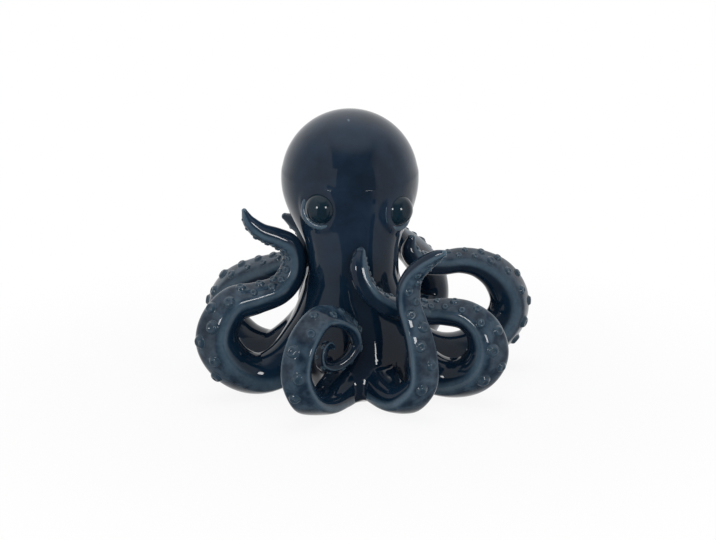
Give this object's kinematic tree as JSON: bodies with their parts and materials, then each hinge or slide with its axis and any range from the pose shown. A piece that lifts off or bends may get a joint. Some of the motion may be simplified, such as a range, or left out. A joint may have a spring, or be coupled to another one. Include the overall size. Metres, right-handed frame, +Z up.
{
  "type": "octopus figurine",
  "caption": "Glazed ceramic octopus ornament with a round hollow head, raised eyes and curling hollow arms that carry rows of suckers.",
  "frame": {"origin": "middle of the trunk's foot, on the surface that the figurine stands on", "axes": "+Z up; -Y is the front, where the face looks; +X is to the viewer's right and lies along the longest side"},
  "size_m": [0.2407, 0.219, 0.1965],
  "materials": {
    "navy_glaze": "gloss",
    "sucker_glaze": "gloss",
    "eye_glaze": "gloss"
  },
  "bodies": {
    "root": {"body": "navy_glaze", "arm_front_left": "navy_glaze", "suckers_front_left": "sucker_glaze", "arm_front_right": "navy_glaze", "suckers_front_right": "sucker_glaze", "arm_left": "navy_glaze", "suckers_left": "sucker_glaze", "arm_right": "navy_glaze", "suckers_right": "sucker_glaze", "arm_side_left": "navy_glaze", "suckers_side_left": "sucker_glaze", "arm_side_right": "navy_glaze", "suckers_side_right": "sucker_glaze", "arm_back_right": "navy_glaze", "suckers_back_right": "sucker_glaze", "arm_back_left": "navy_glaze", "suckers_back_left": "sucker_glaze", "eyeball_left": "eye_glaze", "eyelid_left": "navy_glaze", "eyeball_right": "eye_glaze", "eyelid_right": "navy_glaze"}
  },
  "joints": []
}
